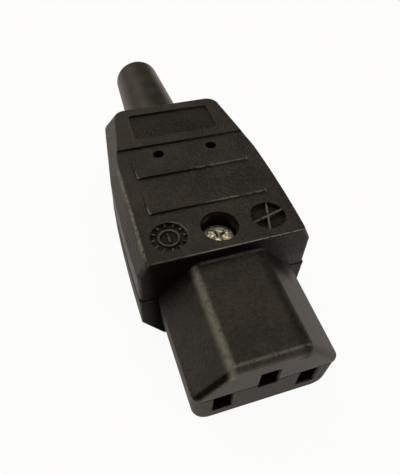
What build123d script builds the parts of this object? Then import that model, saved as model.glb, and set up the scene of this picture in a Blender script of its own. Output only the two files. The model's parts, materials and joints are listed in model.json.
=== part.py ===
from build123d import *
import os

# Rewireable female line connector with three contacts, in millimetres.
# Origin: centre of the mating face, on the parting plane of the two shells.
# -Y is the mating end, +Y the cord end, +Z the side with the screw head.

# Mating nose
nose_width = 23.5
nose_root_width = 24.2
nose_top = 7.6
nose_bottom = 8.2
nose_length = 19.0
nose_flat_width = 11.7
nose_bevel_foot = 0.85
nose_ridge_radius = 1.4
nose_rim_radius = 1.25
nose_lower_draft = 0.42
nose_lower_radius = 2.9
nose_lower_rim_radius = 1.55

# Contact openings
pin_pitch = 14.0
earth_offset = 4.0
pin_row_z = -2.4
slot_width = 2.5
slot_height = 4.8
slot_wall = 1.8
slot_flare = 0.4
slot_flare_depth = 0.5
pocket_width = 5.0
pocket_headroom = 0.6

# Body in plan: half widths at the front, middle, waist and rear of each level
body_rear = 61.3
body_middle = 31.0
body_waist = 42.0
wall_halves = (15.0, 15.3, 15.1, 12.9)
wall_corner_radius = 3.4
parting_spread = 0.07
top_halves = (13.3, 13.6, 13.2, 10.8)
top_corner_radius = 2.4
top_rear_inset = 2.1
bottom_halves = (11.2, 11.5, 11.2, 9.4)
bottom_corner_radius = 2.0
bottom_rear_inset = 1.8
cover_overhang = 0.08

# Body, heights from the parting plane
upper_height = 9.98
upper_front_height = 9.6
upper_break = 6.5
lower_depth = 12.6
lower_break = 6.9
step_y = 46.7
shoulder_corner_radius = 0.9
cover_corner_radius = 0.5
top_edge_radius = 0.35
bottom_edge_radius = 0.45

# Walls, ribs and the groove along the parting line
wall = 2.0
rib = 1.0
rib_root = 0.5
seam_groove_width = 0.5
seam_groove_height = 0.22
lip_height = 1.2
lip_thickness = 1.0
lip_root = 2.5
lip_front = 24.0
lip_rear = 54.0
fit_gap = 0.1

# Outside details of the upper shell
disc_offset = 8.7
disc_row_y = 23.76
disc_radius = 3.05
disc_depth = 0.9
dial_depth = 0.6
dial_hub_radius = 0.9
dial_ring_radius = 1.5
dial_line = 0.3
dial_tick_length = 0.7
dial_tick_count = 12
dial_relief = 0.35
cross_rib_width = 0.32
cross_rib_drop = 0.12
cross_rib_angles = (14.7, 73.9)
grip_width = 21.3
grip_length = 8.0
grip_height = 0.35
grip_front_faces = (29.1, 38.1)
label_width = 16.6
label_front = 49.0
label_rear = 56.9
label_depth = 0.4
label_corner_radius = 0.6

# Main screw and nut
screw_head_radius = 2.75
screw_head_height = 2.0
screw_head_sink = 2.5
screw_head_rounding = 0.3
screw_radius = 1.5
screw_length = 16.0
screw_slot_width = 0.8
screw_slot_length = 4.0
screw_slot_depth = 0.9
screw_slot_turn = 20
screw_hole_clearance = 0.2
counterbore_radius = 3.2
counterbore_wall = 1.2
pillar_radius = 3.2
nut_flats = 5.5
nut_height = 2.4
nut_pocket_clearance = 0.1
nut_pocket_depth = 3.0
nut_post_radius = 4.6

# Contacts, cut and folded from one sheet each
sheet = 0.6
leaf_gap_rear = 3.0
leaf_gap_pinch = 1.6
leaf_gap_mouth = 2.5
leaf_height = 4.2
contact_front = 2.6
contact_pinch_y = 6.0
contact_fold_start = 9.5
contact_fold_end = 15.0
tail_height = 3.0
tail_lead = 1.5
tail_overlap = 4.9

# Terminals
terminal_width = 4.8
terminal_length = 7.0
terminal_height = 6.0
terminal_chamfer = 0.4
terminal_outset = 0.6
terminal_lift = 0.8
line_terminal_front = 22.6
earth_terminal_front = 30.6
wire_hole_radius = 1.4
wire_hole_depth = 6.0
rivet_radius = 0.7
rivet_inset = 2.8
terminal_screw_radius = 1.25
terminal_screw_head_radius = 2.1
terminal_screw_head_height = 1.6
terminal_screw_reach = 1.2
terminal_screw_slot_width = 0.6
terminal_screw_slot_depth = 0.7
guard_thickness = 0.3
guard_width = 2.0
pillar_clearance = 0.25
partition = 0.7

# Cord clamp
clamp_screw_offset = 5.24
clamp_row_y = 44.0
pilot_radius = 1.05
boss_radius = 2.4
boss_end_z = -2.6
clamp_half_width = 8.0
clamp_length = 5.0
clamp_thickness = 2.0
clamp_corner_radius = 1.2
clamp_tooth_height = 0.6
clamp_tooth_width = 4.6
clamp_tooth_foot = 2.0
clamp_tooth_edge = 0.8
clamp_hole_radius = 1.6
clamp_screw_length = 9.5
clamp_screw_head_radius = 2.4
clamp_screw_head_height = 1.6
clamp_screw_head_rounding = 0.4
clamp_screw_slot_width = 0.7
clamp_screw_slot_depth = 0.8

# Bend protection sleeve
sleeve_z = -2.0
sleeve_end = 90.4
sleeve_root_radius = 6.8
sleeve_tip_radius = 5.5
sleeve_tip_rounding = 1.0
sleeve_bore_radius = 3.6
flange_radius = 8.0
flange_thickness = 2.4
flange_rib_half_width = 9.5

# Cutters run past the faces they cut, and trimming blocks past the whole part
over = 1.0
beyond = 100.0

# Derived places
earth_z = pin_row_z + earth_offset
body_front = nose_length
cavity_front = body_front + wall
cavity_rear = body_rear - wall
ceiling = upper_front_height - wall
floor = -lower_depth + wall
screw_seat = upper_front_height - screw_head_sink - screw_head_height
nut_top = -lower_depth + nut_pocket_depth
disc_floor = upper_front_height - disc_depth
dial_floor = upper_front_height - dial_depth
pocket_height = slot_height + pocket_headroom
leaf_outer = leaf_gap_rear / 2 + sheet
line_terminal_x = pin_pitch / 2 + terminal_outset
line_terminal_z = pin_row_z + terminal_lift
line_tail_x = line_terminal_x + terminal_width / 2
line_reach = line_tail_x + sheet - pin_pitch / 2
earth_reach = pillar_radius + pillar_clearance + sheet
flange_rear = cavity_rear - fit_gap
flange_front = flange_rear - flange_thickness


def block(x, y, z):
    """Box between the given pairs of limits."""
    centre = Vector(sum(x) / 2, sum(y) / 2, sum(z) / 2)
    return Pos(centre) * Box(x[1] - x[0], y[1] - y[0], z[1] - z[0])


def rod(radius, x, y, z):
    """Upright cylinder between two heights."""
    return Pos(x, y, sum(z) / 2) * Cylinder(radius, z[1] - z[0])


def rod_y(radius, x, z, y):
    """Cylinder along Y between two places."""
    return Pos(x, sum(y) / 2, z) * Rot(X=90) * Cylinder(radius, y[1] - y[0])


def sides_of(half):
    """The limits of a width that is centred on the middle plane."""
    return (-half, half)


def plan(z, halves, rear, corner, inset):
    """Level outline of the body: bowed sides that run in to the rear, round rear corners."""
    front_half, middle_half, waist_half, rear_half = (half - inset for half in halves)
    front = body_front - wall
    rear -= inset
    edges = [Line((-front_half, front), (front_half, front)), Line((-rear_half, rear), (rear_half, rear))]
    for side in (-1, 1):
        waist = (side * waist_half, body_waist)
        edges.append(ThreePointArc((side * front_half, front), (side * middle_half, body_middle), waist))
        edges.append(Line(waist, (side * rear_half, rear)))
    face = make_face(Wire(edges))
    rear_corners = face.vertices().group_by(Axis.Y)[-1]
    return Pos(0, 0, z) * fillet(rear_corners, corner)


def body_half(break_z, last_outline, inset):
    """Half of the body: upright walls to the break, then walls that lean in to the last outline."""
    parting_halves = [half + parting_spread for half in wall_halves]
    outlines = [
        plan(0, parting_halves, body_rear, wall_corner_radius, inset),
        plan(break_z, wall_halves, body_rear, wall_corner_radius, inset),
        last_outline,
    ]
    behind = block(sides_of(beyond), (body_front + inset, beyond), sides_of(beyond))
    return loft(outlines, ruled=True) & behind


def upper_half(height, inset=0.0):
    """Upper half of the body up to a height, set in from the outside."""
    top = plan(height, top_halves, body_rear - top_rear_inset, top_corner_radius, inset)
    return body_half(upper_break, top, inset)


def lower_half(height, inset=0.0):
    """Lower half of the body down to a height, set in from the outside."""
    bottom = plan(height, bottom_halves, body_rear - bottom_rear_inset, bottom_corner_radius, inset)
    return body_half(-lower_break, bottom, inset)


def front_uprights(body):
    """Edges at the two front corners of a half body."""
    return body.edges().filter_by(
        lambda edge: abs(edge.center().Y - body_front) < wall / 4 and abs(edge.center().X) > wall
    )


def upper_profile(half):
    """Upper half of the nose's section, with two bevelled sides and round ridges."""
    flat = nose_flat_width / 2
    outline = Polyline(
        (-half, 0), (-half, nose_bevel_foot), (-flat, nose_top),
        (flat, nose_top), (half, nose_bevel_foot), (half, 0), close=True,
    )
    face = make_face(outline)
    return fillet(face.vertices().group_by(Axis.Y)[-1], nose_ridge_radius)


def lower_profile(half):
    """Lower half of the nose's section, with drafted sides and round corners."""
    foot = half - nose_lower_draft
    outline = Polyline((-half, 0), (half, 0), (foot, -nose_bottom), (-foot, -nose_bottom), close=True)
    face = make_face(outline)
    return fillet(face.vertices().group_by(Axis.Y)[0], nose_lower_radius)


def nose_half(profile, rim_radius):
    """Upper or lower half of the nose: widens a little towards the body, rounded rim."""
    spread = (nose_root_width - nose_width) / 2 * (nose_length + wall) / nose_length
    front = Plane.XZ * profile(nose_width / 2)
    root = Plane.XZ.offset(-(nose_length + wall)) * profile(nose_width / 2 + spread)
    nose = loft([front, root], ruled=True)
    mating_face = nose.faces().sort_by(Axis.Y)[0]
    rim = mating_face.edges().filter_by(lambda edge: abs(edge.center().Z) > fit_gap)
    return fillet(rim, rim_radius)


def slot_mouth(x, z):
    """Opening for one pin, through the front wall, with flared sides."""
    low = z - slot_height / 2
    half = slot_width / 2
    throat = block((x - half, x + half), (-over, slot_wall + over), (low, low + slot_height))
    wide = half + slot_flare
    outline = Polyline(
        (x - wide, 0), (x + wide, 0), (x + half, slot_flare_depth), (x - half, slot_flare_depth), close=True,
    )
    return throat + extrude(Pos(0, 0, low) * make_face(outline), slot_height)


def contact_room(x, z, side, reach):
    """Pocket for one contact, widened beside its tail."""
    low = z - pocket_height / 2
    high = z + pocket_height / 2
    half = pocket_width / 2
    room = block((x - half, x + half), (slot_wall, cavity_front + over), (low, high))
    near = x + side * (leaf_outer - sheet - fit_gap)
    far = x + side * (reach + 2 * fit_gap)
    jog = block(sorted((near, far)), (contact_fold_end, cavity_front + over), (low, high))
    return room + jog


def parting_core():
    """Region inside the parting groove: nose and body, set in by the groove's width."""
    front = nose_width / 2 - seam_groove_width
    root = nose_root_width / 2 - seam_groove_width
    outline = Polyline(
        (-front, seam_groove_width), (front, seam_groove_width), (root, cavity_front), (-root, cavity_front),
        close=True,
    )
    body = plan(0, wall_halves, body_rear, wall_corner_radius, seam_groove_width)
    behind = block(sides_of(beyond), (body_front + seam_groove_width, beyond), sides_of(beyond))
    return extrude(make_face(outline), over) + (extrude(body, over) & behind)


def parting_groove():
    """Narrow groove that shows as the dark parting line."""
    slab = block(sides_of(beyond), (-over, body_rear + over), (0, seam_groove_height))
    return slab - parting_core()


def line_places():
    """Side (-1 or 1) and X of the two live contacts."""
    return [(side, side * pin_pitch / 2) for side in (-1, 1)]


def terminal_ribs(x, front, z):
    """Two cross ribs between the given heights, at both ends of a terminal."""
    half = terminal_width / 2
    rear = front + terminal_length
    return [block((x - half, x + half), y, z) for y in ((front, front + rib), (rear - rib, rear))]


def partitions(z):
    """Walls between the live terminals and the screw pillar."""
    near = line_terminal_x - terminal_width / 2 - fit_gap
    y = (cavity_front - over, line_terminal_front + terminal_length)
    return [block((x, x + partition), y, z) for x in (-near, near - partition)]


def cord_passage():
    """Round way through the rear wall for the sleeve."""
    return rod_y(sleeve_root_radius + fit_gap, 0, sleeve_z, (flange_front, body_rear + over))


def flange_room():
    """Seat of the sleeve's flange, just inside the rear wall."""
    return rod_y(flange_radius + fit_gap, 0, sleeve_z, (flange_front - fit_gap, cavity_rear))


def flange_rib(z):
    """Rib in front of the sleeve's flange that keeps it against the rear wall."""
    rear = flange_front - fit_gap
    plate = block(sides_of(flange_rib_half_width), (rear - rib, rear), z)
    return plate - rod_y(sleeve_bore_radius + wall, 0, sleeve_z, (rear - rib - over, rear + over))


def side_lips():
    """Lips of the cover that stand inside the upper shell's side walls."""
    near = wall + fit_gap
    far = near + lip_thickness
    above = upper_half(ceiling, near) - upper_half(ceiling, far)
    below = lower_half(floor, wall - fit_gap) - lower_half(floor, far)
    lip_y = (lip_front, lip_rear)
    lips = above & block(sides_of(beyond), lip_y, (0, lip_height))
    return lips + (below & block(sides_of(beyond), lip_y, (-lip_root, 0)))


def grips():
    """Long raised wedges across the top, steep towards the mating end."""
    low = upper_front_height - rib_root
    wedges = []
    for front in grip_front_faces:
        rear = front + grip_length
        outline = Polyline(
            (front, low), (front, upper_front_height + grip_height), (rear, upper_front_height), (rear, low),
            close=True,
        )
        wedges.append(extrude(Plane.YZ * make_face(outline), grip_width / 2, both=True))
    return wedges


def dial():
    """Plain round dial with a pointer, a ring and a circle of ticks, sunk in the upper shell."""
    z = (dial_floor, dial_floor + dial_relief)
    ring = rod(dial_ring_radius + dial_line, -disc_offset, disc_row_y, z)
    ring -= rod(dial_ring_radius, -disc_offset, disc_row_y, (dial_floor - over, dial_floor + over))
    centre = Pos(-disc_offset, disc_row_y, dial_floor + dial_relief / 2)
    pointer = Box(dial_line, 2 * dial_hub_radius, dial_relief)
    tick = Pos(disc_radius - dial_tick_length / 2, 0, 0) * Box(dial_tick_length, dial_line, dial_relief)
    ticks = [centre * Rot(Z=360 * k / dial_tick_count) * tick for k in range(dial_tick_count)]
    return [ring, centre * pointer] + ticks


def cross_ribs():
    """Two thin ribs across the right recess."""
    height = disc_depth - cross_rib_drop
    centre = Pos(disc_offset, disc_row_y, disc_floor + height / 2)
    bar = Box(2 * (disc_radius + fit_gap), cross_rib_width, height)
    return [centre * Rot(Z=angle) * bar for angle in cross_rib_angles]


def base_shell():
    """Upper shell: carries the contacts, the terminals and the cord clamp."""
    body = upper_half(upper_height)
    body -= block(sides_of(beyond), (0, step_y), (upper_front_height, upper_height + over))
    body = fillet(front_uprights(body), shoulder_corner_radius)
    tops = body.edges().filter_by(lambda edge: edge.center().Z > upper_front_height - fit_gap)
    rim = tops.filter_by(lambda edge: abs(edge.center().Y - step_y) > rib)
    body = fillet(rim, top_edge_radius)
    body += nose_half(upper_profile, nose_rim_radius)
    for wedge in grips():
        body += wedge
    body -= upper_half(ceiling, wall)
    body -= cord_passage()

    hung = ceiling + rib_root
    line_top = line_terminal_z + terminal_height / 2 + fit_gap
    earth_top = earth_z + terminal_height / 2 + fit_gap
    inner = terminal_ribs(-line_terminal_x, line_terminal_front, (line_top, hung))
    inner += terminal_ribs(line_terminal_x, line_terminal_front, (line_top, hung))
    inner += terminal_ribs(0, earth_terminal_front, (earth_top, hung))
    inner += partitions((0, hung))
    inner.append(rod(counterbore_radius + counterbore_wall, 0, disc_row_y, (screw_seat - rib, hung)))
    inner.append(rod(pillar_radius, 0, disc_row_y, (0, hung)))
    inner += [rod(boss_radius, x, clamp_row_y, (boss_end_z, hung)) for x in sides_of(clamp_screw_offset)]
    inner.append(flange_rib((0, hung)))
    for piece in inner:
        body += piece
    body -= flange_room()

    body -= slot_mouth(0, earth_z)
    body -= contact_room(0, earth_z, 1, earth_reach)
    above = upper_height + over
    body -= rod(counterbore_radius, 0, disc_row_y, (screw_seat, above))
    body -= rod(screw_radius + screw_hole_clearance, 0, disc_row_y, (-over, above))
    for x in sides_of(clamp_screw_offset):
        body -= rod(pilot_radius, x, clamp_row_y, (boss_end_z - over, above))
    body -= rod(disc_radius, -disc_offset, disc_row_y, (dial_floor, above))
    body -= rod(disc_radius, disc_offset, disc_row_y, (disc_floor, above))
    for detail in dial() + cross_ribs():
        body += detail
    label = RectangleRounded(label_width, label_rear - label_front, label_corner_radius)
    body -= extrude(Pos(0, (label_front + label_rear) / 2, upper_height - label_depth) * label, over)
    return body - parting_groove()


def cover_shell():
    """Lower shell: closes the contact pockets and holds the nut."""
    body = lower_half(-lower_depth, -cover_overhang)
    body = fillet(front_uprights(body), cover_corner_radius)
    body = fillet(body.faces().sort_by(Axis.Z)[0].edges(), bottom_edge_radius)
    body += nose_half(lower_profile, nose_lower_rim_radius)
    body -= lower_half(floor, wall)
    body += side_lips()
    body -= cord_passage()

    sunk = floor - rib_root
    line_low = line_terminal_z - terminal_height / 2 - fit_gap
    earth_low = earth_z - terminal_height / 2 - fit_gap
    inner = terminal_ribs(-line_terminal_x, line_terminal_front, (sunk, line_low))
    inner += terminal_ribs(line_terminal_x, line_terminal_front, (sunk, line_low))
    inner += terminal_ribs(0, earth_terminal_front, (sunk, earth_low))
    inner.append(rod(nut_post_radius, 0, disc_row_y, (sunk, -fit_gap)))
    inner.append(flange_rib((sunk, 0)))
    for piece in inner:
        body += piece
    body -= flange_room()

    for side, x in line_places():
        body -= slot_mouth(x, pin_row_z)
        body -= contact_room(x, pin_row_z, side, line_reach)
    body -= slot_mouth(0, earth_z)
    body -= contact_room(0, earth_z, 1, earth_reach)
    body -= rod(screw_radius + screw_hole_clearance, 0, disc_row_y, (-lower_depth - over, over))
    hexagon = RegularPolygon(nut_flats / 2 + nut_pocket_clearance, 6, major_radius=False)
    return body - extrude(Pos(0, disc_row_y, -lower_depth - over) * hexagon, nut_pocket_depth + over)


def bend_sleeve():
    """Tapered flexible sleeve with a flange that the shells hold."""
    outline = Polyline(
        (sleeve_bore_radius, flange_front), (flange_radius, flange_front), (flange_radius, flange_rear),
        (sleeve_root_radius, flange_rear), (sleeve_root_radius, body_rear), (sleeve_tip_radius, sleeve_end),
        (sleeve_bore_radius, sleeve_end), close=True,
    )
    section = make_face(outline)
    rim = section.vertices().group_by(Axis.Y)[-1].sort_by(Axis.X)[-1]
    section = fillet(rim, sleeve_tip_rounding)
    return Pos(0, 0, sleeve_z) * revolve(section, Axis.Y)


def assembly_screw():
    """Cheese-head machine screw that holds the shells together."""
    head_top = screw_seat + screw_head_height
    head = rod(screw_head_radius, 0, disc_row_y, (screw_seat, head_top))
    head = fillet(head.edges().sort_by(Axis.Z)[-1], screw_head_rounding)
    screw = head + rod(screw_radius, 0, disc_row_y, (screw_seat - screw_length, screw_seat))
    slot = Box(screw_slot_length, screw_slot_width, 2 * screw_slot_depth)
    for angle in (screw_slot_turn, screw_slot_turn + 90):
        screw -= Pos(0, disc_row_y, head_top) * Rot(Z=angle) * slot
    return screw


def assembly_nut():
    """Hexagon nut in the lower shell's pocket."""
    hexagon = RegularPolygon(nut_flats / 2, 6, major_radius=False)
    nut = extrude(Pos(0, disc_row_y, nut_top - nut_height) * hexagon, nut_height)
    return nut - rod(screw_radius, 0, disc_row_y, (nut_top - nut_height - over, nut_top + over))


def sheet_strip(points, low, high):
    """Upright strip of contact sheet along a line in plan."""
    face = trace(Polyline(*points), sheet)
    return extrude(Pos(0, 0, low) * face, high - low)


def leaf(x, z, side):
    """Sprung leaf of a contact, which pinches the pin on one side."""
    offsets = [gap / 2 + sheet / 2 for gap in (leaf_gap_mouth, leaf_gap_pinch, leaf_gap_rear, leaf_gap_rear)]
    stations = (contact_front, contact_pinch_y, contact_fold_start, contact_fold_end)
    points = [(x + side * offset, y) for offset, y in zip(offsets, stations)]
    return sheet_strip(points, z - leaf_height / 2, z + leaf_height / 2)


def contact(x, z, side, tail_points, web_z):
    """Folded contact: two sprung leaves, the web that joins them and one tail."""
    web = block((x - leaf_outer, x + leaf_outer), (contact_fold_start, contact_fold_end), web_z)
    start_x = x + side * (leaf_outer - sheet / 2)
    lead = [(start_x, contact_fold_end - sheet), (start_x, contact_fold_end + tail_lead)]
    tail = sheet_strip(lead + tail_points, z - tail_height / 2, z + tail_height / 2)
    return leaf(x, z, -1) + leaf(x, z, 1) + web + tail


def rivet(x, front, z, length):
    """Rivet shank through a contact's tail into its terminal."""
    return Pos(x, front + rivet_inset, z) * Rot(Y=90) * Cylinder(rivet_radius, length)


def line_contact(side, x):
    """Live contact, its tail cranked outwards to lie on the terminal's outer side."""
    tail_x = side * (line_tail_x + sheet / 2)
    tail = [(tail_x, cavity_front + sheet / 2), (tail_x, line_terminal_front + tail_overlap)]
    low = pin_row_z - leaf_height / 2
    piece = contact(x, pin_row_z, side, tail, (low - sheet, low))
    return piece - rivet(tail_x, line_terminal_front, pin_row_z, 2 * sheet)


def earth_contact():
    """Earth contact, its tail led round the screw pillar to the rear terminal."""
    out_x = pillar_radius + pillar_clearance + sheet / 2
    end_x = terminal_width / 2 + sheet / 2
    tail = [
        (out_x, cavity_front - tail_lead), (out_x, disc_row_y + pillar_radius),
        (end_x, earth_terminal_front - sheet), (end_x, earth_terminal_front + tail_overlap),
    ]
    high = earth_z + leaf_height / 2
    piece = contact(0, earth_z, 1, tail, (high, high + sheet))
    return piece - rivet(end_x, earth_terminal_front, earth_z, 2 * sheet)


def terminal(x, z_middle, front, rivet_side, rivet_z):
    """Pillar terminal: wire hole from the rear, tapped hole from below, rivet to the tail."""
    half = terminal_width / 2
    low = z_middle - terminal_height / 2
    rear = front + terminal_length
    body = block((x - half, x + half), (front, rear), (low, low + terminal_height))
    body = chamfer(body.edges().filter_by(Axis.Z), terminal_chamfer)
    body -= rod_y(wire_hole_radius, x, z_middle, (rear - wire_hole_depth, rear + over))
    body -= rod(terminal_screw_radius, x, front + terminal_length / 2, (low - over, z_middle))
    return body + rivet(x + rivet_side * (half + sheet / 2), front, rivet_z, sheet)


def terminal_screw(x, z_middle, front):
    """Slotted clamping screw of one terminal, head towards the lower shell."""
    low = z_middle - terminal_height / 2
    head_end = low - terminal_screw_head_height
    y = front + terminal_length / 2
    shank = rod(terminal_screw_radius, x, y, (low, z_middle - wire_hole_radius + terminal_screw_reach))
    head = rod(terminal_screw_head_radius, x, y, (head_end, low))
    slot = Box(3 * terminal_screw_head_radius, terminal_screw_slot_width, 2 * terminal_screw_slot_depth)
    return shank + head - Pos(x, y, head_end) * slot


def wire_guard(x, z_middle, front):
    """Thin leaf between the clamping screw and the wire."""
    rear = front + terminal_length
    y = (rear - wire_hole_depth, rear)
    low = z_middle - wire_hole_radius + terminal_screw_reach
    strip = block((x - guard_width / 2, x + guard_width / 2), y, (low, low + guard_thickness))
    return strip & rod_y(wire_hole_radius, x, z_middle, y)


def cord_clamp():
    """Bar across the cord, with a tooth in the middle and two screw holes."""
    high = boss_end_z
    y = (clamp_row_y - clamp_length / 2, clamp_row_y + clamp_length / 2)
    bar = block(sides_of(clamp_half_width), y, (high - clamp_thickness, high))
    bar = fillet(bar.edges().filter_by(Axis.Z), clamp_corner_radius)
    foot = clamp_tooth_foot / 2
    edge = clamp_tooth_edge / 2
    outline = Polyline(
        (clamp_row_y - foot, high - rib_root), (clamp_row_y + foot, high - rib_root),
        (clamp_row_y + edge, high + clamp_tooth_height), (clamp_row_y - edge, high + clamp_tooth_height),
        close=True,
    )
    bar += extrude(Plane.YZ * make_face(outline), clamp_tooth_width / 2, both=True)
    for x in sides_of(clamp_screw_offset):
        bar -= rod(clamp_hole_radius, x, clamp_row_y, (high - clamp_thickness - over, high + over))
    return bar


def clamp_screw(x):
    """Self-tapping screw that holds the clamp bar to its boss."""
    seat = boss_end_z - clamp_thickness
    head_end = seat - clamp_screw_head_height
    shank = rod(pilot_radius, x, clamp_row_y, (seat, seat + clamp_screw_length))
    head = rod(clamp_screw_head_radius, x, clamp_row_y, (head_end, seat))
    head = fillet(head.edges().sort_by(Axis.Z)[0], clamp_screw_head_rounding)
    slot = Box(clamp_screw_slot_width, 3 * clamp_screw_head_radius, 2 * clamp_screw_slot_depth)
    return shank + head - Pos(x, clamp_row_y, head_end) * slot


def build():
    """All nodes by name."""
    nodes = {
        "base_shell": base_shell(),
        "cover_shell": cover_shell(),
        "bend_sleeve": bend_sleeve(),
        "assembly_screw": assembly_screw(),
        "assembly_nut": assembly_nut(),
        "cord_clamp": cord_clamp(),
        "clamp_screw_left": clamp_screw(-clamp_screw_offset),
        "clamp_screw_right": clamp_screw(clamp_screw_offset),
    }
    for name, (side, x) in zip(("line", "neutral"), line_places()):
        place = side * line_terminal_x
        nodes[f"{name}_contact"] = line_contact(side, x)
        nodes[f"{name}_terminal"] = terminal(place, line_terminal_z, line_terminal_front, side, pin_row_z)
        nodes[f"{name}_screw"] = terminal_screw(place, line_terminal_z, line_terminal_front)
        nodes[f"{name}_guard"] = wire_guard(place, line_terminal_z, line_terminal_front)
    nodes["earth_contact"] = earth_contact()
    nodes["earth_terminal"] = terminal(0, earth_z, earth_terminal_front, 1, earth_z)
    nodes["earth_screw"] = terminal_screw(0, earth_z, earth_terminal_front)
    nodes["earth_guard"] = wire_guard(0, earth_z, earth_terminal_front)
    return nodes


def main():
    os.makedirs("parts", exist_ok=True)
    for name, shape in build().items():
        export_step(shape, f"parts/{name}.step")


if __name__ == "__main__":
    main()
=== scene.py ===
"""Looks of a rewireable line connector: two moulded shells, a bend sleeve, screws and brass contacts."""

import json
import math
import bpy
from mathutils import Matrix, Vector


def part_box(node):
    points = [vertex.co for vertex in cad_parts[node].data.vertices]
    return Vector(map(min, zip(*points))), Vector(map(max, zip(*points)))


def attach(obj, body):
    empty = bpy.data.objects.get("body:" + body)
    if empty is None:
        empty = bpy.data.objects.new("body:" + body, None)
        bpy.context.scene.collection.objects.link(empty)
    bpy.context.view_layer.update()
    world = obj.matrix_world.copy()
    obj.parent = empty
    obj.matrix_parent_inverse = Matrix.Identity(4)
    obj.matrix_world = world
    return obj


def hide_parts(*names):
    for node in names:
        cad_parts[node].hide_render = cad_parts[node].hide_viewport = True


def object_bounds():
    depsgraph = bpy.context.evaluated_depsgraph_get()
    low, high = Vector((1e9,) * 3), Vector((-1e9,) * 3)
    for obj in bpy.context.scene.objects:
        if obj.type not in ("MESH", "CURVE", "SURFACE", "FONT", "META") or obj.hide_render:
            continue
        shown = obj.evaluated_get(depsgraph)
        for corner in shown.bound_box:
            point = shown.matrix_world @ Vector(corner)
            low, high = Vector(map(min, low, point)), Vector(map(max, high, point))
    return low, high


bl_info = {
    "name": "Line connector looks",
    "version": (1, 0, 0),
    "blender": (4, 5, 0),
    "location": "3D View > Sidebar > Connector",
    "description": "Moulded plastic, sleeve, screws, metal finishes and studio stage of a line connector",
    "category": "Object",
}

from collections import namedtuple

import bmesh
import bpy
from bpy.props import FloatProperty, FloatVectorProperty, PointerProperty
from bpy.types import Operator, Panel, PropertyGroup
from mathutils import Matrix, Vector

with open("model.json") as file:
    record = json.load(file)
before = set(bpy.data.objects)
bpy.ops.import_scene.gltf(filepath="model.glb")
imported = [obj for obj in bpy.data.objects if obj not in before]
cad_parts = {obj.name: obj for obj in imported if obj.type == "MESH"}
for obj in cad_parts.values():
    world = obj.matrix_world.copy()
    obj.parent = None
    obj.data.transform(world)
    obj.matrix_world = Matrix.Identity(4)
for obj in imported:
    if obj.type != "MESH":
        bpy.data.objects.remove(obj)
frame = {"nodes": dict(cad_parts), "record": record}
cad_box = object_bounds()

MM = 0.001
WHITE = (1.0, 1.0, 1.0, 1.0)


def middle(node):
    """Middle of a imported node's box, in millimetres."""
    low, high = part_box(node)
    return (low + high) / 2 / MM


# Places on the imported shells, in millimetres: across from the middle, along from the mating face.
ROW_ALONG = middle("assembly_screw").y
RECESS_ACROSS = 8.7
RECESS_RADIUS = 3.05
WELL_RADIUS = 3.25
BODY_FRONT = 19.0
GRIP_FRONTS = (29.1, 38.1)
LABEL_FRONT, LABEL_REAR = 49.0, 56.9
LABEL_HALF = 8.3


class Wire:
    """Output of a shader node, used as a value in expressions."""

    def __init__(self, sheet, socket):
        self.sheet = sheet
        self.socket = socket

    def out(self, name):
        """Another output of the same node."""
        return Wire(self.sheet, self.socket.node.outputs[name])

    def parts(self):
        """X, Y and Z of a vector."""
        apart = self.sheet.node("ShaderNodeSeparateXYZ", None, {0: self})
        return apart.out("X"), apart.out("Y"), apart.out("Z")

    def __add__(self, other):
        return self.sheet.math("ADD", self, other)

    def __sub__(self, other):
        return self.sheet.math("SUBTRACT", self, other)

    def __rsub__(self, other):
        return self.sheet.math("SUBTRACT", other, self)

    def __mul__(self, other):
        return self.sheet.math("MULTIPLY", self, other)

    __radd__ = __add__
    __rmul__ = __mul__


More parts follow.
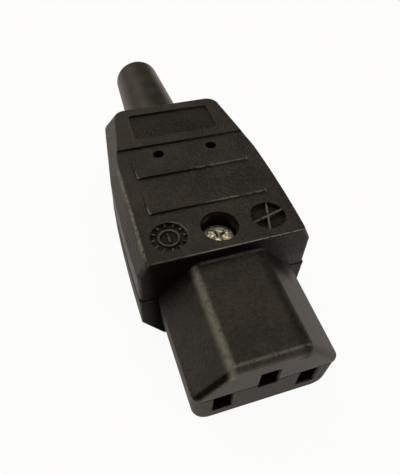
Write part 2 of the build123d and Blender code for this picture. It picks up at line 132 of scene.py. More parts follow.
class Sheet:
    """Node tree of one material or of the world. Lengths in its methods are in millimetres."""

    def __init__(self, owner):
        owner.use_nodes = True
        self.tree = owner.node_tree
        self.tree.nodes.clear()

    def node(self, kind, settings=None, inputs=None, output=0):
        """Adds one node: its settings first, then the values or links of its sockets."""
        made = self.tree.nodes.new(kind)
        for name, value in (settings or {}).items():
            setattr(made, name, value)
        for name, value in (inputs or {}).items():
            if isinstance(value, Wire):
                self.tree.links.new(value.socket, made.inputs[name])
            else:
                made.inputs[name].default_value = value
        return Wire(self, made.outputs[output]) if made.outputs else None

    def math(self, operation, first, second):
        return self.node("ShaderNodeMath", {"operation": operation}, {0: first, 1: second})

    def largest(self, first, *others):
        for other in others:
            first = self.math("MAXIMUM", first, other)
        return first

    def mix(self, factor, first, second):
        """Colour between two others."""
        settings = {"data_type": "RGBA", "clamp_factor": True}
        return self.node("ShaderNodeMix", settings, {0: factor, 6: first, 7: second}, output=2)

    def step(self, value, low, high, start=0.0, end=1.0):
        """Smooth step of a value from low to high."""
        settings = {"interpolation_type": "SMOOTHSTEP", "clamp": True}
        inputs = {"Value": value, 1: low, 2: high, 3: start, 4: end}
        return self.node("ShaderNodeMapRange", settings, inputs)

    def band(self, value, low, high, soft):
        """1 between low and high, 0 outside, with soft ends."""
        return self.step(value, low - soft, low + soft) * self.step(value, high + soft, high - soft)

    def disc(self, place, centre, radius, soft):
        """1 within an upright round column about a centre, 0 outside."""
        inputs = {0: place, 1: (1.0, 1.0, 0.0)}
        flat = self.node("ShaderNodeVectorMath", {"operation": "MULTIPLY"}, inputs)
        inputs = {0: flat, 1: (*centre, 0.0)}
        away = self.node("ShaderNodeVectorMath", {"operation": "DISTANCE"}, inputs, output="Value")
        return self.step(away, radius + soft, radius - soft)

    def place(self, stretch=(1.0, 1.0, 1.0)):
        """Place on the object, stretched along its axes."""
        where = self.node("ShaderNodeTexCoord").out("Object")
        scale = tuple(factor / MM for factor in stretch)
        return self.node("ShaderNodeVectorMath", {"operation": "MULTIPLY"}, {0: where, 1: scale})

    def noise(self, place, scale, detail=2.0, roughness=0.5):
        inputs = {"Vector": place, "Scale": scale, "Detail": detail, "Roughness": roughness}
        return self.node("ShaderNodeTexNoise", {"noise_dimensions": "3D"}, inputs)

    def cells(self, place, scale):
        return self.node("ShaderNodeTexVoronoi", {"feature": "F1"}, {"Vector": place, "Scale": scale})

    def rounded(self, radius):
        """Normal with the edges rounded."""
        return self.node("ShaderNodeBevel", {"samples": 6}, {"Radius": radius * MM})

    def corners(self, reach):
        """1 along outer edges within a reach, 0 on flat faces and in inner corners."""
        settings = {"inside": True, "samples": 8}
        inputs = {"Distance": reach * MM}
        buried = self.node("ShaderNodeAmbientOcclusion", settings, inputs, output="AO")
        return self.step(buried, 0.96, 0.62)

    def openness(self, reach):
        """Open share of the sky within a reach, 1 on open faces."""
        inputs = {"Distance": reach * MM}
        return self.node("ShaderNodeAmbientOcclusion", {"samples": 8}, inputs, output="AO")

    def bump(self, height, depth, normal, strength):
        """Normal with a relief of some depth."""
        inputs = {"Strength": strength, "Distance": depth * MM, "Height": height, "Normal": normal}
        return self.node("ShaderNodeBump", None, inputs)

    def surface(self, inputs, painted_shade=None, shade_tone=None):
        """Ends the sheet in a Principled surface, mixed into a matt dark diffuse, a painted shade, where its
        mask is 1.
        """
        shader = self.node("ShaderNodeBsdfPrincipled", None, inputs)
        if painted_shade is not None:
            matt = self.node("ShaderNodeBsdfDiffuse", None, {"Color": shade_tone})
            shader = self.node("ShaderNodeMixShader", None, {0: painted_shade, 1: shader, 2: matt})
        self.node("ShaderNodeOutputMaterial", None, {"Surface": shader})

    def metal(self, tone, roughness, normal):
        """Ends the sheet in bare metal."""
        self.surface({"Base Color": tone, "Metallic": 1.0, "Roughness": roughness, "Normal": normal})


def new_material(name, kind=Sheet):
    material = bpy.data.materials.new(name)
    return material, kind(material)


def dress(slot, material):
    """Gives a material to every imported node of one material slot."""
    for part in frame["record"]["subparts"]:
        if part["material_slot"] == slot:
            for place in frame["nodes"][part["node"]].material_slots:
                place.material = material


def scaled(tone, factor):
    """A tone made lighter or darker."""
    red, green, blue, alpha = tone
    return (red * factor, green * factor, blue * factor, alpha)


def colour_property(name, description, tone):
    settings = {"size": 4, "min": 0.0, "max": 1.0, "subtype": "COLOR"}
    return FloatVectorProperty(name=name, description=description, default=(*tone, 1.0), **settings)


def length_property(name, description, millimetres):
    settings = {"min": 0.0, "subtype": "DISTANCE", "unit": "LENGTH"}
    return FloatProperty(name=name, description=description, default=millimetres * MM, **settings)


def share_property(name, description, share):
    settings = {"min": 0.0, "max": 1.0, "subtype": "FACTOR"}
    return FloatProperty(name=name, description=description, default=share, **settings)


def angle_property(name, description, degrees):
    return FloatProperty(name=name, description=description, default=math.radians(degrees), subtype="ANGLE")


class ShellFinish(PropertyGroup):
    """Grained black plastic of the two shells."""

    dark: colour_property("Plastic", "Main tone of the moulded plastic", (0.0035, 0.0033, 0.0028))
    warm: colour_property("Warm tone", "Second tone, in soft clouds over the faces", (0.0190, 0.0150, 0.0115))
    # Paler tone of the painted highlights and glints on edges, ridges and the screw's well.
    highlit: colour_property("Highlit edge", "Paler tone of rubbed edges", (0.175, 0.168, 0.150))
    # Tone of the painted shade, a matt dark diffuse mixed over the plastic in the hollows.
    painted_shade: colour_property("Darkness", "Matt black in the hollows", (0.0035, 0.003, 0.0025))
    # Tone of the painted glints in the grain and of the painted reflection on the nose's front face.
    painted_light: colour_property("Glints", "Tone of the fine specks in the grain", (0.11, 0.10, 0.085))
    sheen: colour_property("Reflection", "Tint of the light that the plastic reflects", (1.0, 0.93, 0.85))
    roughness: share_property("Roughness", "Roughness of the grained faces", 0.38)
    polished: share_property("Polished roughness", "Roughness of the round recesses' floors", 0.22)
    gloss: share_property("Gloss", "Specular level of the plastic", 0.33)
    grain_depth: length_property("Grain depth", "Height of the grain", 0.20)
    edge_radius: length_property("Edge rounding", "Rounding of the sharp edges", 0.14)


class SleeveFinish(PropertyGroup):
    """Smoother plastic of the bend sleeve and the clamp bar."""

    dark: colour_property("Sleeve", "Main tone of the sleeve", (0.012, 0.011, 0.0085))
    bloom: colour_property("Bloom", "Paler haze on the sleeve", (0.024, 0.020, 0.013))
    clamp: colour_property("Clamp bar", "Tone of the clamp bar", (0.025, 0.024, 0.023))
    sheen: colour_property("Reflection", "Tint of the light that the sleeve reflects", (1.0, 0.95, 0.87))
    roughness: share_property("Roughness", "Roughness of the sleeve", 0.34)
    gloss: share_property("Gloss", "Specular level of the sleeve", 0.26)


class MetalFinish(PropertyGroup):
    """Zinc, brass and spring steel."""

    zinc: colour_property("Zinc", "Bright zinc of the screws and the nut", (0.96, 0.95, 0.92))
    zinc_stain: colour_property("Zinc stain", "Yellowed places of the zinc", (0.92, 0.86, 0.60))
    zinc_dull: colour_property("Zinc dull", "Blue-grey places of the zinc", (0.22, 0.25, 0.27))
    # Darker tone of the zinc in its recesses and threads.
    zinc_recess_tone: colour_property("Zinc grime", "Darkening in the recesses and threads", (0.030, 0.026, 0.020))
    brass: colour_property("Brass", "Rolled brass of the contacts", (0.76, 0.58, 0.27))
    tarnish: colour_property("Tarnish", "Dulled places of the brass", (0.40, 0.27, 0.13))
    steel: colour_property("Steel", "Spring steel of the wire guards", (0.56, 0.57, 0.58))


class ScrewSizes(PropertyGroup):
    """Heads, recesses and threads of the screws."""

    main_head: length_property("Main head", "Radius of the main screw's head", 2.9)
    main_height: length_property("Main head height", "Height of the main screw's head", 2.0)
    main_dome: length_property("Main dome", "Height of the main screw's dome over its rim", 0.9)
    main_bar: length_property("Main bar", "Length of the bars of the main screw's recess", 3.2)
    main_bar_width: length_property("Main bar width", "Width of the bars of the main screw's recess", 0.75)
    main_recess: length_property("Main recess", "Depth of the main screw's cross recess", 1.3)
    main_turn: angle_property("Main turn", "Turn of the main screw's recess", 20.0)
    main_shank: length_property("Main shank", "Radius of the main screw's shank", 1.5)
    main_pitch: length_property("Main pitch", "Pitch of the main screw's thread", 0.5)
    small_height: length_property("Small head height", "Height of a small screw's head", 1.6)
    small_dome: length_property("Small dome", "Height of a small screw's dome over its rim", 0.35)
    small_recess: length_property("Small recess", "Depth of a small screw's slot", 0.75)
    terminal_head: length_property("Terminal head", "Radius of the terminal screws' heads", 2.1)
    terminal_slot: length_property("Terminal slot", "Width of the terminal screws' slots", 0.6)
    terminal_shank: length_property("Terminal shank", "Radius of the terminal screws' shanks", 1.25)
    terminal_pitch: length_property("Terminal pitch", "Pitch of the terminal screws' thread", 0.45)
    clamp_head: length_property("Clamp head", "Radius of the clamp screws' heads", 2.4)
    clamp_slot: length_property("Clamp slot", "Width of the clamp screws' slots", 0.7)
    clamp_shank: length_property("Clamp shank", "Radius of the clamp screws' shanks", 1.05)
    clamp_pitch: length_property("Clamp pitch", "Pitch of the clamp screws' self-tapping thread", 1.0)


class StageSettings(PropertyGroup):
    """Floor, light and camera."""

    floor: colour_property("Floor", "Tone of the floor", (0.83, 0.79, 0.76))
    floor_half: length_property("Floor half width", "Half the width of the floor", 1500)
    plain_light: colour_property("Plain light", "Colour of the plain soft lights", (1.0, 0.96, 0.90))
    warm_light: colour_property("Warm light", "Colour of the warm soft lights", (1.0, 0.87, 0.68))
    light_level: FloatProperty(
        name="Light level", description="Strength of all soft lights", default=1.0, min=0.0
    )
    target: FloatVectorProperty(
        name="Target", description="Point that the camera looks at",
        default=(-1.15 * MM, 29.79 * MM, 0.0), subtype="TRANSLATION", unit="LENGTH",
    )
    azimuth: angle_property("Azimuth", "Camera's turn about the object", -20.09)
    elevation: angle_property("Elevation", "Camera's height angle", 49.87)
    roll: angle_property("Roll", "Camera's turn about its own axis", 3.06)
    distance: length_property("Distance", "Camera's distance from its target", 84.36)
    lens: FloatProperty(name="Lens", description="Focal length", default=33.82, unit="CAMERA")


class ShellSheet(Sheet):
    """Sheet of the two shells, whose masks share places, directions and textures.

    Places are across from the middle, along from the mating face and up from the parting line. A face that
    looks to the mating end has a facing of -1.
    """

    def __init__(self, material):
        super().__init__(material)
        self.spot = self.place()
        self.across, self.along, self.height = self.spot.parts()
        _, self.facing, _ = self.node("ShaderNodeTexCoord").out("Normal").parts()
        self.grain = self.noise(self.spot, 5.0, 3.0, 0.6)
        self.mottle = self.noise(self.spot, 1.9, 3.0, 0.6)
        self.upper = self.step(self.height, 6.5, 7.5)
        self.dial = self.in_row(-RECESS_ACROSS, RECESS_RADIUS, 0.1)
        self.ribs = self.in_row(RECESS_ACROSS, RECESS_RADIUS, 0.1)
        self.recess_floors = (self.dial + self.ribs) * self.step(self.height, 9.3, 9.0) * self.upper
        self.label = (
            self.band(self.across, -LABEL_HALF, LABEL_HALF, 0.2)
            * self.band(self.along, LABEL_FRONT, LABEL_REAR, 0.2)
            * self.step(self.height, 9.75, 9.5) * self.upper
        )
        nose = self.step(self.along, BODY_FRONT - 0.2, BODY_FRONT - 0.6)
        nose_top = nose * self.step(self.height, 4.8, 5.6)
        # The left ridge of the nose carries a painted highlight.
        self.left_ridge = nose_top * self.band(self.across, -6.65, -5.75, 0.50)
        # The right ridge of the nose carries painted shade.
        self.right_ridge = nose_top * self.band(self.across, 4.5, 5.8, 0.8)

    def in_row(self, across, radius, soft):
        """1 in a round column in the row of the screw and the two round recesses."""
        return self.disc(self.spot, (across, ROW_ALONG), radius, soft)

    def body_highlights(self):
        """Painted highlights along the upper front edge and the left edge of the body."""
        front_edge = (
            self.band(self.facing, -0.66, -0.34, 0.12) * self.step(self.height, 8.2, 8.8)
            * self.band(self.along, BODY_FRONT - 0.8, BODY_FRONT + 2.0, 0.4)
            * self.step(self.across, -14.0, 3.0, 0.25, 1.0)
        )
        left_edge = (
            self.band(self.along, 20.5, 43.0, 1.5) * self.band(self.across, -13.75, -13.20, 0.12)
            * self.step(self.height, 9.1, 9.4) * self.step(self.grain, 0.44, 0.52)
        )
        return 1.3 * front_edge + 1.2 * left_edge

    def grip_highlights(self, corner):
        """Painted highlights on the right half of each grip's front edge and on each grip's left end."""
        at_edges, at_ends = 0.0, 0.0
        for front in GRIP_FRONTS:
            at_edges = at_edges + self.band(self.along, front - 0.5, front + 0.6, 0.2)
            at_ends = at_ends + self.band(self.along, front - 0.1, front + 1.7, 0.3)
        edges = at_edges * self.step(self.height, 9.0, 9.4) * self.step(self.across, -2.5, 2.5)
        ends = at_ends * self.band(self.across, -11.4, -10.2, 0.2) * self.upper
        return corner * (0.7 * edges + 0.9 * ends)

    def recess_glints(self, corner):
        """Painted glints on the relief in the round recesses and on an arc of the dial's rim."""
        rim = self.in_row(-RECESS_ACROSS, 3.30, 0.06) - self.in_row(-RECESS_ACROSS, 3.02, 0.06)
        arc = rim * self.step(self.across, -8.2, -7.0) * self.step(self.along, 23.0, 24.2) * self.upper
        return corner * (0.30 * self.dial + 0.5 * self.ribs) + 0.45 * arc

    def nose_highlights(self):
        """Painted highlights along the root and the front edge of the nose's flat top."""
        root = self.band(self.along, BODY_FRONT - 0.7, BODY_FRONT - 0.2, 0.08) * self.upper
        front = self.band(self.facing, -0.42, -0.12, 0.08) * self.step(self.along, 2.0, 1.5) * self.upper
        return 0.35 * root * self.band(self.across, -5.0, 6.5, 0.5) + 0.40 * front

    def glint(self):
        """Two painted glints: paler spots on the wall of the screw's well."""
        rear = self.band(self.across, -2.3, -0.9, 0.5) * self.band(self.height, 7.9, 8.9, 0.4)
        right = self.step(self.across, 2.3, 3.0) * self.band(self.height, 7.2, 8.2, 0.4)
        spots = rear * self.step(self.along, 24.5, 25.5) + right * self.step(self.along, 22.5, 23.5)
        return spots * self.in_row(0.0, WELL_RADIUS, 0.02) * self.step(self.height, 9.5, 9.3)

    def tone(self, look, highlit):
        """Plastic in two clouded tones, with painted glints in the grain, a painted reflection that lightens
        the nose's front face, and painted highlights on edges.
        """
        cloud = self.noise(self.spot, 0.16, 2.0)
        warmth = self.step(cloud + 1.6 * (self.mottle - 0.5), 0.34, 0.68)
        # Painted glints: small pale specks on the high points of the grain.
        specks = self.step(self.cells(self.spot, 2.3), 0.14, 0.04) * self.step(self.grain, 0.50, 0.62)
        # Painted reflection: the upper half of the nose's front face is made lighter.
        nose_front = (
            self.step(self.facing, -0.80, -0.95) * self.step(self.along, 0.5, 0.3)
            * self.step(self.height, 0.0, 0.2)
        )
        tone = self.mix(warmth, look.dark, look.warm)
        tone = self.mix(0.7 * specks, tone, look.painted_light)
        tone = self.mix(0.20 * nose_front, tone, look.painted_light)
        return self.mix(highlit, tone, look.highlit)

    def roughness(self, look):
        """Rough grained faces. The sunk fields came out of smoother mould faces."""
        faces = look.roughness + 0.14 * (self.mottle - 0.5) + 0.08 * (self.grain - 0.5) - 0.10 * self.label
        return faces + (look.polished - look.roughness) * self.recess_floors

    def shade(self):
        """Painted shade in the slots and hollows, most on the left shoulder and along the nose's left rim."""
        openness = self.openness(8.0)
        hollow = (
            self.step(openness, 0.92, 0.45) * (1.0 - self.recess_floors)
            * self.step(self.across, 8.0, -3.0, 0.08, 0.82)
        )
        deep = self.step(openness, 0.42, 0.22)
        shoulder = (
            self.step(self.facing, -0.85, -0.95)
            * self.band(self.along, BODY_FRONT - 0.5, BODY_FRONT + 1.0, 0.3)
            * self.step(self.across, 9.0, 2.0, 0.0, 0.92) * self.step(self.across, -15.0, -12.0, 0.55, 1.0)
        )
        rim = (
            self.band(self.facing, -0.90, -0.35, 0.10) * self.step(self.along, 2.0, 1.5)
            * self.step(self.height, 0.8, 1.2) * self.step(self.across, -5.0, -6.5)
        )
        # Lighter painted shade also falls on the lower shell, the sunk fields, the right ridge and the nose's
        # right root.
        low_rooms = self.band(self.across, -8.6, 8.6, 0.1) * self.band(self.height, -6.0, 2.5, 0.1)
        earth_room = self.band(self.across, -4.0, 4.0, 0.1) * self.band(self.height, 2.5, 4.2, 0.1)
        pin_rooms = self.band(self.along, 0.25, BODY_FRONT - 1.0, 0.1) * (low_rooms + earth_room)
        right_root = (
            self.band(self.along, BODY_FRONT - 4.5, BODY_FRONT - 0.1, 1.5)
            * self.step(self.across, 5.0, 7.0) * self.step(self.height, 2.0, 4.0)
        )
        lower_shell = self.step(self.height, 0.1, -0.1)
        return self.largest(
            0.22 * lower_shell, hollow, deep, shoulder, pin_rooms, 0.85 * rim, 0.45 * self.label,
            0.5 * self.recess_floors, 0.5 * self.right_ridge, 0.6 * right_root,
        )


class CONNECTOR_OT_shells(Operator):
    """Dress the two shells in grained black plastic"""

    bl_idname = "connector.shells"
    bl_label = "Shells"

    def execute(self, context):
        look = context.scene.connector_shells
        material, shell = new_material("grained_shell", ShellSheet)
        corner = shell.corners(0.40)
        glint = shell.glint()
        edges = shell.body_highlights() + shell.grip_highlights(corner) + shell.recess_glints(corner) + shell.nose_highlights()
        # Painted highlights and glints, broken up by noise, and a painted highlight in clouds along the
        # nose's left ridge.
        breaks = shell.step(shell.noise(shell.spot, 0.9, 3.0, 0.7), 0.34, 0.54)
        ridge = shell.left_ridge * shell.step(shell.mottle, 0.05, 0.60)
        highlit = (edges + 0.16 * glint) * breaks + 0.88 * ridge
        # Painted shade, kept off the painted highlights and glints.
        painted_shade = shell.shade() * (1.0 - shell.largest(highlit, shell.left_ridge, glint))
        relief = 0.8 * shell.grain + shell.mottle
        inputs = {
            "Base Color": shell.tone(look, highlit),
            "Roughness": shell.roughness(look),
            "Normal": shell.bump(relief, look.grain_depth / MM, shell.rounded(look.edge_radius / MM), 0.9),
            "Specular IOR Level": look.gloss,
            "Specular Tint": look.sheen,
        }
        shell.surface(inputs, painted_shade, look.painted_shade)
        dress("shell_plastic", material)
        return {"FINISHED"}


def soft_sleeve(look):
    """Smooth plastic with a paler haze and faint lines along the sleeve."""
    material, sheet = new_material("soft_sleeve")
    place = sheet.place()
    haze = sheet.noise(place, 0.35, 3.0)
    fine = sheet.noise(place, 6.0, 2.0)
    flow = sheet.noise(sheet.place((1.0, 0.12, 1.0)), 1.2, 2.0)
    sheet.surface({
        "Base Color": sheet.mix(sheet.step(haze, 0.40, 0.68), look.dark, look.bloom),
        "Roughness": look.roughness + 0.14 * (haze - 0.5) + 0.08 * (flow - 0.5),
        "Normal": sheet.bump(fine + flow, 0.006, sheet.rounded(0.15), 0.7),
        "Specular IOR Level": look.gloss,
        "Specular Tint": look.sheen,
    })
    return material


def clamp_bar(look):
    """Plain plastic of the bar across the cord."""
    material, sheet = new_material("clamp_bar")
    fine = sheet.noise(sheet.place(), 5.0, 3.0)
    sheet.surface({
        "Base Color": sheet.mix(sheet.step(fine, 0.35, 0.7), look.clamp, scaled(look.clamp, 1.8)),
        "Roughness": 0.4 + 0.2 * (fine - 0.5),
        "Normal": sheet.bump(fine, 0.008, sheet.rounded(0.12), 0.7),
    })
    return material


class CONNECTOR_OT_sleeve(Operator):
    """Dress the bend sleeve and the clamp bar"""

    bl_idname = "connector.sleeve"
    bl_label = "Sleeve and clamp"

    def execute(self, context):
        look = context.scene.connector_sleeve
        dress("sleeve_plastic", soft_sleeve(look))
        dress("clamp_plastic", clamp_bar(look))
        return {"FINISHED"}


def worn_zinc(look):
    """Bright zinc with yellowed and blue-grey places, darker and rougher in its hollows."""
    material, sheet = new_material("worn_zinc")
    place = sheet.place()
    patch = sheet.noise(place, 1.1, 4.0, 0.6)
    cool = sheet.noise(place, 1.7, 3.0, 0.6)
    dents = sheet.cells(place, 2.4)
    scratch = sheet.noise(sheet.place((0.35, 2.4, 1.0)), 3.0, 4.0, 0.7)
    # Darker and rougher where a point is enclosed, in the recesses and threads.
    recessed = sheet.step(sheet.openness(1.0), 0.42, 0.20)
    tone = sheet.mix(sheet.step(patch, 0.47, 0.60), look.zinc, look.zinc_stain)
    tone = sheet.mix(0.6 * sheet.step(cool, 0.58, 0.68), tone, look.zinc_dull)
    tone = sheet.mix(0.85 * recessed, tone, look.zinc_recess_tone)
    roughness = 0.24 + 0.20 * patch + 0.14 * scratch + 0.30 * recessed
    sheet.metal(tone, roughness, sheet.bump(dents + 0.5 * scratch, 0.15, sheet.rounded(0.1), 1.0))
    return material


def rolled_brass(look):
    """Brass with streaks along the connector, dulled in clouds but bright at its edges."""
    material, sheet = new_material("rolled_brass")
    streak = sheet.noise(sheet.place((1.0, 0.15, 1.0)), 4.0, 4.0, 0.65)
    dull = sheet.noise(sheet.place(), 0.5, 4.0, 0.6)
    edge = sheet.corners(0.15)
    tone = sheet.mix(sheet.step(dull, 0.45, 0.7) * (1.0 - edge), look.brass, look.tarnish)
    roughness = 0.24 + 0.25 * dull + 0.12 * (streak - 0.5) - 0.08 * edge
    sheet.metal(tone, roughness, sheet.bump(streak, 0.012, sheet.rounded(0.08), 0.8))
    return material


def spring_strip(look):
    """Thin rolled steel with streaks across the connector."""
    material, sheet = new_material("spring_strip")
    streak = sheet.noise(sheet.place((0.2, 3.0, 1.0)), 4.0, 4.0, 0.65)
    tone = sheet.mix(sheet.step(streak, 0.35, 0.7), look.steel, scaled(look.steel, 0.7))
    sheet.metal(tone, 0.25 + 0.2 * streak, sheet.bump(streak, 0.008, sheet.rounded(0.04), 0.7))
    return material


class CONNECTOR_OT_metal(Operator):
    """Dress the nut, the contacts, the terminals and the wire guards"""

    bl_idname = "connector.metal"
    bl_label = "Metal pieces"

    def execute(self, context):
        look = context.scene.connector_metal
        dress("zinc_steel", worn_zinc(look))
        dress("contact_brass", rolled_brass(look))
        dress("guard_steel", spring_strip(look))
        return {"FINISHED"}


# Shape of a screw, in metres. Its dome is the part of the head's height over the rim.
ScrewShape = namedtuple("ScrewShape", "head_radius head_height dome shank_radius pitch")
# One bar of a screw's recess, in metres, and its turn in radians.
RecessBar = namedtuple("RecessBar", "length width depth turn")


def turned_mesh(name, rings, steps=32):
    """Mesh turned about Z. Each ring is a height and a function of the angle that gives the radius."""
    form = bmesh.new()
    rows = []
    for height, radius in rings:
        row = []
        for index in range(steps):
            angle = math.tau * index / steps
            reach = radius(angle)
            row.append(form.verts.new((reach * math.cos(angle), reach * math.sin(angle), height)))
        rows.append(row)
    for upper, lower in zip(rows, rows[1:]):
        for index in range(steps):
            after = (index + 1) % steps
            form.faces.new((upper[index], lower[index], lower[after], upper[after]))
    form.faces.new(rows[0])
    form.faces.new(reversed(rows[-1]))
    mesh = bpy.data.meshes.new(name)
    form.to_mesh(mesh)
    form.free()
    return mesh


def plain_ring(height, radius):
    """Ring with one radius all round."""
    return height, lambda angle: radius


def thread_ring(height, root, crest, pitch):
    """Ring through a thread, whose ridge climbs by one pitch in a turn."""
    def radius(angle):
        turn = (height / pitch + angle / math.tau) % 1.0
        ridge = max(0.0, 1.0 - 1.25 * abs(2 * turn - 1.0))
        return root + (crest - root) * ridge
    return height, radius


def screw_rings(shape, length):
    """Rings of a domed head, an unthreaded neck, a thread and a narrowed end, from the top down."""
    pitch = shape.pitch
    rim = shape.head_height - shape.dome
    root = 0.82 * shape.shank_radius
    neck = 1.1 * pitch
    rings = []
    for degrees in (4, 12, 22, 34, 48, 62, 76, 90):
        angle = math.radians(degrees)
        height = rim + shape.dome * math.cos(angle) ** 0.8
        rings.append(plain_ring(height, shape.head_radius * math.sin(angle)))
    rings.append(plain_ring(0.12 * rim, shape.head_radius))
    rings.append(plain_ring(0.0, 0.96 * shape.head_radius))
    rings.append(plain_ring(0.0, root))
    rings.append(plain_ring(-neck, root))
    slices = max(8, round((length - neck - pitch) / pitch * 8))
    for index in range(1, slices):
        height = -neck - (length - neck - 0.3 * pitch) * index / slices
        fade = max(0.0, min(1.0, (-height - neck) / pitch, (height + length) / pitch))
        rings.append(thread_ring(height, root, root + fade * (shape.shank_radius - root), pitch))
    rings.append(plain_ring(-length, 0.8 * root))
    return rings


def recess_cutter(bar):
    """Cutter for one bar of a recess. It starts over the head's top, at height 0, and narrows downwards."""
    over = 0.6 * MM
    bottom_share = 0.72
    form = bmesh.new()
    made = bmesh.ops.create_cube(form, size=1.0)["verts"]
    for corner in made:
        high = corner.co.z > 0
        share = 1.0 if high else bottom_share
        height = over if high else -bar.depth
        corner.co = Vector((corner.co.x * bar.length * share, corner.co.y * bar.width * share, height))
    bmesh.ops.rotate(form, verts=made, cent=(0, 0, 0), matrix=Matrix.Rotation(bar.turn, 3, "Z"))
    bmesh.ops.recalc_face_normals(form, faces=form.faces)
    mesh = bpy.data.meshes.new("cutter")
    form.to_mesh(mesh)
    form.free()
    return bpy.data.objects.new("cutter", mesh)


def cut_recess(screw, bars, top):
    """Mesh of a screw whose head ends at a height, with the bars cut into it."""
    cutters = []
    for bar in bars:
        cutter = recess_cutter(bar)
        cutter.location.z = top
        bpy.context.scene.collection.objects.link(cutter)
        cut = screw.modifiers.new("recess", "BOOLEAN")
        cut.operation = "DIFFERENCE"
        cut.solver = "EXACT"
        cut.object = cutter
        cutters.append(cutter)
    bpy.context.view_layer.update()
    whole = screw.evaluated_get(bpy.context.evaluated_depsgraph_get())
    mesh = bpy.data.meshes.new_from_object(whole)
    screw.modifiers.clear()
    for cutter in cutters:
        bpy.data.objects.remove(cutter)
    if len(mesh.polygons) < len(screw.data.polygons) // 2:
        raise RuntimeError(f"the recess of {screw.name} took away its body")
    return mesh


def detailed_screw(node, head_up, shape, bars, material):
    """Screw with a domed head, a recess and a thread, in the place of a packed screw."""
    low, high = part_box(node)
    length = high.z - low.z - shape.head_height
    name = node + "_detailed"
    screw = bpy.data.objects.new(name, turned_mesh(name, screw_rings(shape, length)))
    bpy.context.scene.collection.objects.link(screw)
    mesh = cut_recess(screw, bars, shape.head_height)
    seat = (low + high) / 2
    seat.z = high.z - shape.head_height if head_up else low.z + shape.head_height
    turn = Matrix() if head_up else Matrix.Rotation(math.pi, 4, "X")
    mesh.transform(Matrix.Translation(seat) @ turn)
    mesh.shade_smooth()
    mesh.set_sharp_from_angle(angle=math.radians(32))
    mesh.materials.clear()
    mesh.materials.append(material)
    screw.data = mesh
    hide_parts(node)
    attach(screw, "root")


class CONNECTOR_OT_screws(Operator):
    """Make the screws with their heads, recesses and threads"""

    bl_idname = "connector.screws"
    bl_label = "Screws"

    def execute(self, context):
        sizes = context.scene.connector_screws
        zinc = bpy.data.materials.get("worn_zinc") or worn_zinc(context.scene.connector_metal)

        shape = ScrewShape(
            sizes.main_head, sizes.main_height, sizes.main_dome, sizes.main_shank, sizes.main_pitch
        )
        cross = [
            RecessBar(sizes.main_bar, sizes.main_bar_width, sizes.main_recess, sizes.main_turn + quarter)
            for quarter in (0.0, math.pi / 2)
        ]
        detailed_screw("assembly_screw", True, shape, cross, zinc)

        # The small screws' slots run right across their heads.
        across = 7.0 * MM
        shape = ScrewShape(
            sizes.terminal_head, sizes.small_height, sizes.small_dome, sizes.terminal_shank,
            sizes.terminal_pitch,
        )
        slot = [RecessBar(across, sizes.terminal_slot, sizes.small_recess, 0.0)]
        for node in ("line_screw", "neutral_screw", "earth_screw"):
            detailed_screw(node, False, shape, slot, zinc)

        shape = ScrewShape(
            sizes.clamp_head, sizes.small_height, sizes.small_dome, sizes.clamp_shank, sizes.clamp_pitch
        )
        slot = [RecessBar(across, sizes.clamp_slot, sizes.small_recess, math.pi / 2)]
        for node in ("clamp_screw_left", "clamp_screw_right"):
            detailed_screw(node, False, shape, slot, zinc)
        return {"FINISHED"}


# Soft lights around the object: turn and height angle in degrees, strength, tightness, share of warm light.
SOFT_LIGHTS = (
    (0, 90, 0.24, 9, 0.5),
    (40, 55, 1.50, 9, 0.5),
    (100, 55, 0.50, 9, 0.3),
    (160, 55, 0.20, 9, 0.5),
    (220, 55, 0.55, 9, 0.8),
    (25, 18, 1.20, 9, 0.5),
    (70, 18, 0.75, 9, 0.1),
    (205, 18, 0.40, 9, 0.8),
    (250, 18, 0.62, 9, 1.0),
    (212, 45, 6.50, 45, 0.6),
)


def sky_point(turn, height):
    """Direction from its turn about the object, 0 at the mating end, and its height angle."""
    turn, height = math.radians(turn), math.radians(height)
    return (math.sin(turn) * math.cos(height), -math.cos(turn) * math.cos(height), math.sin(height))


def white_share(sheet, camera, glossy, transmission):
    """Share of plain white that each kind of ray sees."""
    ray = sheet.node("ShaderNodeLightPath")
    return (
        ray.out("Is Camera Ray") * camera
        + ray.out("Is Glossy Ray") * glossy
        + ray.out("Is Transmission Ray") * transmission
    )


def make_floor(look, height):
    """Plain pale floor that keeps the object's shadow."""
    half = look.floor_half
    mesh = bpy.data.meshes.new("floor")
    corners = [(x * half, y * half, height) for x, y in ((-1, -1), (1, -1), (1, 1), (-1, 1))]
    mesh.from_pydata(corners, [], [(0, 1, 2, 3)])
    floor = bpy.data.objects.new("floor", mesh)
    bpy.context.scene.collection.objects.link(floor)
    material, sheet = new_material("pale_floor")
    lit = sheet.node("ShaderNodeBsdfDiffuse", None, {"Color": look.floor})
    white = sheet.node("ShaderNodeEmission", None, {"Color": WHITE, "Strength": 1.0})
    seen = white_share(sheet, camera=0.94, glossy=0.30, transmission=0.94)
    both = sheet.node("ShaderNodeMixShader", None, {0: seen, 1: lit, 2: white})
    sheet.node("ShaderNodeOutputMaterial", None, {"Surface": both})
    mesh.materials.append(material)


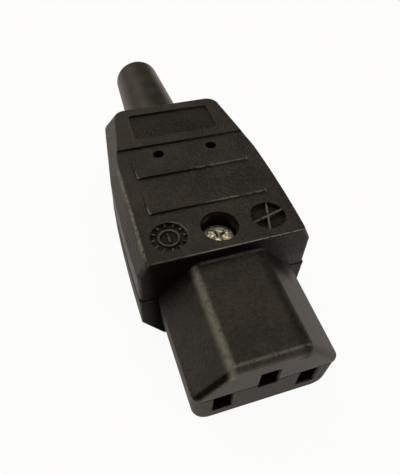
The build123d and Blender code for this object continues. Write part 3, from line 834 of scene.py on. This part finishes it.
def make_world(look):
    """Soft studio lights all around, and white where the camera looks past the floor."""
    world = bpy.data.worlds.new("studio")
    bpy.context.scene.world = world
    sheet = Sheet(world)
    toward = sheet.node("ShaderNodeTexCoord").out("Generated")
    plain, warm = 0.0, 0.0
    for turn, height, strength, tightness, share in SOFT_LIGHTS:
        inputs = {0: toward, 1: sky_point(turn, height)}
        nearness = sheet.node("ShaderNodeVectorMath", {"operation": "DOT_PRODUCT"}, inputs, output="Value")
        glow = look.light_level * strength * sheet.math("POWER", math.e, (nearness - 1.0) * tightness)
        plain = plain + (1.0 - share) * glow
        warm = warm + share * glow
    plain_glow = sheet.node("ShaderNodeBackground", None, {"Color": look.plain_light, "Strength": plain})
    warm_glow = sheet.node("ShaderNodeBackground", None, {"Color": look.warm_light, "Strength": warm})
    light = sheet.node("ShaderNodeAddShader", None, {0: plain_glow, 1: warm_glow})
    white = sheet.node("ShaderNodeBackground", None, {"Color": WHITE, "Strength": 1.0})
    seen = white_share(sheet, camera=1.0, glossy=0.05, transmission=1.0)
    both = sheet.node("ShaderNodeMixShader", None, {0: seen, 1: light, 2: white})
    sheet.node("ShaderNodeOutputWorld", None, {"Surface": both})


def make_camera(look):
    """Camera at the photograph's angle."""
    flat = math.cos(look.elevation)
    back = Vector((
        math.sin(look.azimuth) * flat, -math.cos(look.azimuth) * flat, math.sin(look.elevation),
    ))
    right = (-back).cross(Vector((0.0, 0.0, 1.0))).normalized()
    up = right.cross(-back)
    turned_right = math.cos(look.roll) * right + math.sin(look.roll) * up
    turned_up = math.cos(look.roll) * up - math.sin(look.roll) * right
    place = Matrix((turned_right, turned_up, back)).transposed().to_4x4()
    place.translation = look.target + back * look.distance
    lens = bpy.data.cameras.new("photo_camera")
    lens.lens = look.lens
    lens.sensor_width = 36.0
    lens.clip_start = 5 * MM
    lens.clip_end = 10.0
    camera = bpy.data.objects.new("photo_camera", lens)
    camera.matrix_world = place
    bpy.context.scene.collection.objects.link(camera)
    bpy.context.scene.camera = camera


class CONNECTOR_OT_stage(Operator):
    """Set up the floor, the light and the camera"""

    bl_idname = "connector.stage"
    bl_label = "Stage"

    def execute(self, context):
        look = context.scene.connector_stage
        low, _ = cad_box
        make_floor(look, low.z)
        make_world(look)
        make_camera(look)
        context.scene.view_settings.view_transform = "Standard"
        return {"FINISHED"}


class CONNECTOR_PT_panel(Panel):
    """Finishes and stage of the line connector"""

    bl_label = "Line connector"
    bl_idname = "CONNECTOR_PT_panel"
    bl_space_type = "VIEW_3D"
    bl_region_type = "UI"
    bl_category = "Connector"

    def draw(self, context):
        for name in SETTINGS:
            box = self.layout.box()
            settings = getattr(context.scene, name)
            for key in settings.__annotations__:
                box.prop(settings, key)
            box.operator(name.replace("_", "."))


# Each group of settings has the name of the operator that uses it, with an underscore for the dot.
SETTINGS = {
    "connector_stage": StageSettings,
    "connector_shells": ShellFinish,
    "connector_sleeve": SleeveFinish,
    "connector_metal": MetalFinish,
    "connector_screws": ScrewSizes,
}
CLASSES = (
    *SETTINGS.values(),
    CONNECTOR_OT_stage, CONNECTOR_OT_shells, CONNECTOR_OT_sleeve, CONNECTOR_OT_metal, CONNECTOR_OT_screws,
    CONNECTOR_PT_panel,
)


def register():
    for kind in CLASSES:
        bpy.utils.register_class(kind)
    for name, kind in SETTINGS.items():
        setattr(bpy.types.Scene, name, PointerProperty(type=kind))


def unregister():
    for name in SETTINGS:
        delattr(bpy.types.Scene, name)
    for kind in reversed(CLASSES):
        bpy.utils.unregister_class(kind)


def main():
    register()
    bpy.ops.connector.stage()
    bpy.ops.connector.shells()
    bpy.ops.connector.sleeve()
    bpy.ops.connector.metal()
    bpy.ops.connector.screws()


if __name__ == "__main__":
    main()
